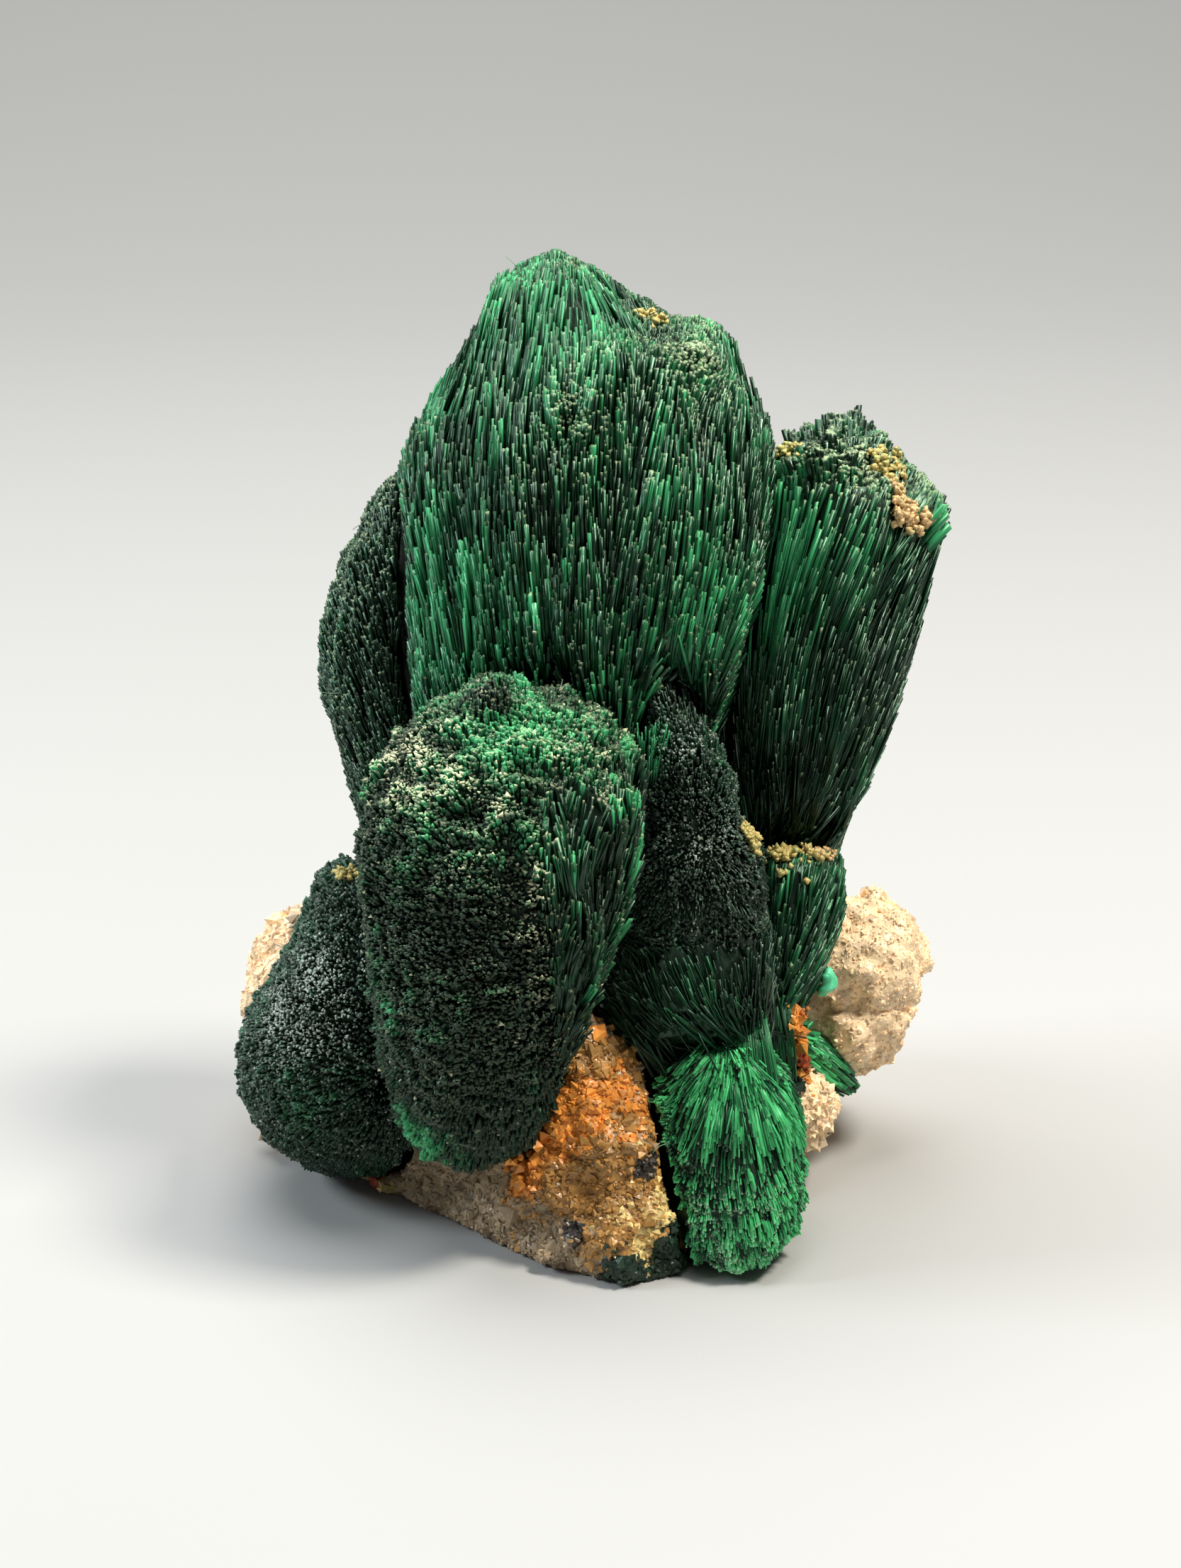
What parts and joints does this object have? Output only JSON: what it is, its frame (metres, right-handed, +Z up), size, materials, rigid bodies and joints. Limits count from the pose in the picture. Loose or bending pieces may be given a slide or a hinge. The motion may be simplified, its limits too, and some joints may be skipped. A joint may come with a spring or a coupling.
{
  "type": "fibrous malachite specimen",
  "caption": "Mineral specimen: upright sprays of radiating dark green fibres, grown together on a lump of sugary quartz rock cut flat to stand on.",
  "frame": {"origin": "on the flat underside of the rock, at about its middle", "axes": "+Z up, along the tall spray; -Y to the front, where the rounded front spray is; +X to the specimen's right, where the column stands"},
  "size_m": [0.0618, 0.0484, 0.082],
  "materials": {
    "dark_fibres": "radiating fibres, near black green, silky to velvety",
    "mid_fibres": "radiating fibres, deep emerald green, pale fibre ends",
    "bright_fibres": "radiating fibres, bright emerald green, silky",
    "bead_green": "small bright green bead, dull",
    "quartz_matrix": "sugary quartz, honey to peach, iron stained"
  },
  "bodies": {
    "root": {"matrix_rock": "quartz_matrix", "tall_spray": "mid_fibres", "right_column_spray": "dark_fibres", "column_foot_spray": "dark_fibres", "back_left_spray": "dark_fibres", "front_spray": "mid_fibres", "lower_left_spray": "mid_fibres", "middle_spray": "dark_fibres", "bright_foot_spray": "bright_fibres", "blade_tuft": "bright_fibres", "green_bead": "bead_green"}
  },
  "joints": []
}
